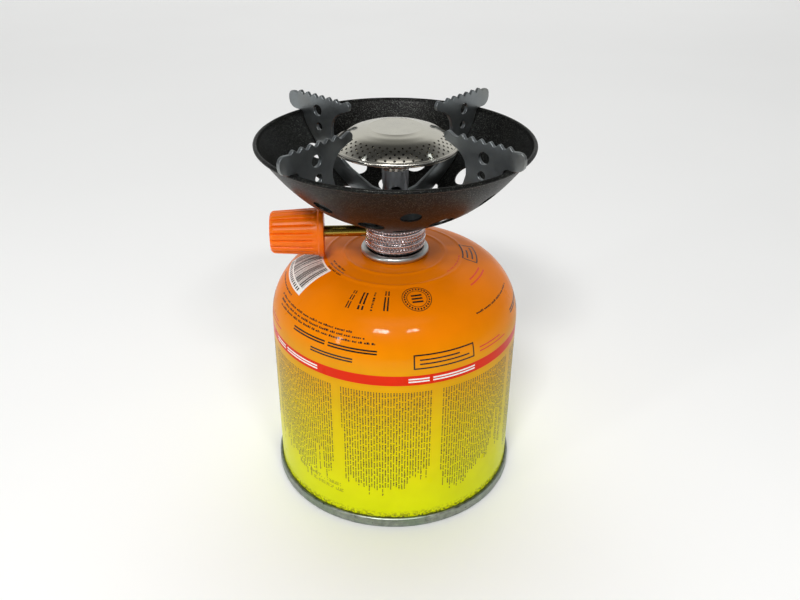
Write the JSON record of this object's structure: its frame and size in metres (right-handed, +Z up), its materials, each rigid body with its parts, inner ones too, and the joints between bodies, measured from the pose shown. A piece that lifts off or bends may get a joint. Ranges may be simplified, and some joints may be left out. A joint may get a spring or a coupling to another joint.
{
  "type": "camping stove",
  "caption": "Screw-on gas burner with a wind bowl, toothed pot supports and a fluted valve knob, standing on a squat domed gas cartridge.",
  "frame": {"origin": "centre of the bottom seam, on the surface the cartridge stands on", "axes": "+Z up along the cartridge's axis; the valve knob points along -X; the pot supports lie at 45 degrees between X and Y"},
  "size_m": [0.1132, 0.1132, 0.1668],
  "materials": {
    "can_paint": "gloss",
    "tinplate": "satin",
    "stainless": "polished",
    "zinc_plate": "satin",
    "brass": "satin",
    "rubber_black": "matte",
    "valve_plastic": "matte",
    "knob_plastic": "satin",
    "bowl_paint": "satin",
    "spring_steel": "satin",
    "sinter": "matte"
  },
  "bodies": {
    "cartridge": {"cartridge_shell": "can_paint", "cartridge_base": "tinplate", "valve_cup": "tinplate", "cup_gasket": "rubber_black", "stem_gasket": "rubber_black", "valve_housing": "valve_plastic", "valve_spring": "spring_steel"},
    "plunger": {"valve_plunger": "valve_plastic"},
    "seal": {"stub_seal": "rubber_black"},
    "stove": {"valve_body": "zinc_plate", "actuator_pin": "brass", "gas_filter": "sinter", "jet": "brass", "gland_bush": "brass", "bowl": "bowl_paint", "support_hub": "zinc_plate", "pot_support_1": "zinc_plate", "pot_support_2": "zinc_plate", "pot_support_3": "zinc_plate", "pot_support_4": "zinc_plate", "burner_tube": "stainless", "burner_cup": "stainless", "burner_cap": "stainless"},
    "packing": {"spindle_oring": "rubber_black"},
    "knob": {"knob": "knob_plastic", "spindle": "brass"}
  },
  "joints": [
    {"name": "stove_lift", "type": "slide", "parent": "cartridge", "child": "seal", "axis": [0, 0, 1], "range_m": [0, 0.0064]},
    {"name": "stove_turn", "type": "hinge", "parent": "seal", "child": "stove", "pos_m": [0, 0, 0.11], "axis": [0, 0, 1], "range_deg": [0, 2520]},
    {"name": "knob_slide", "type": "slide", "parent": "stove", "child": "packing", "axis": [-1, 0, 0], "range_m": [0, 0.0017]},
    {"name": "knob_turn", "type": "hinge", "parent": "packing", "child": "knob", "pos_m": [-0.03, 0, 0.1173], "axis": [-1, 0, 0], "range_deg": [0, 810]},
    {"name": "plunger_rise", "type": "slide", "parent": "cartridge", "child": "plunger", "axis": [0, 0, 1], "range_m": [0, 0.00121], "deforming": ["valve_spring"]}
  ],
  "couplings": [
    {"joint": "stove_lift", "follows": "stove_turn", "m_per_rad": 0.00014438},
    {"joint": "knob_slide", "follows": "knob_turn", "m_per_rad": 0.00011937},
    {"joint": "plunger_rise", "follows": "stove_turn", "m_per_rad": 0.000027284}
  ]
}
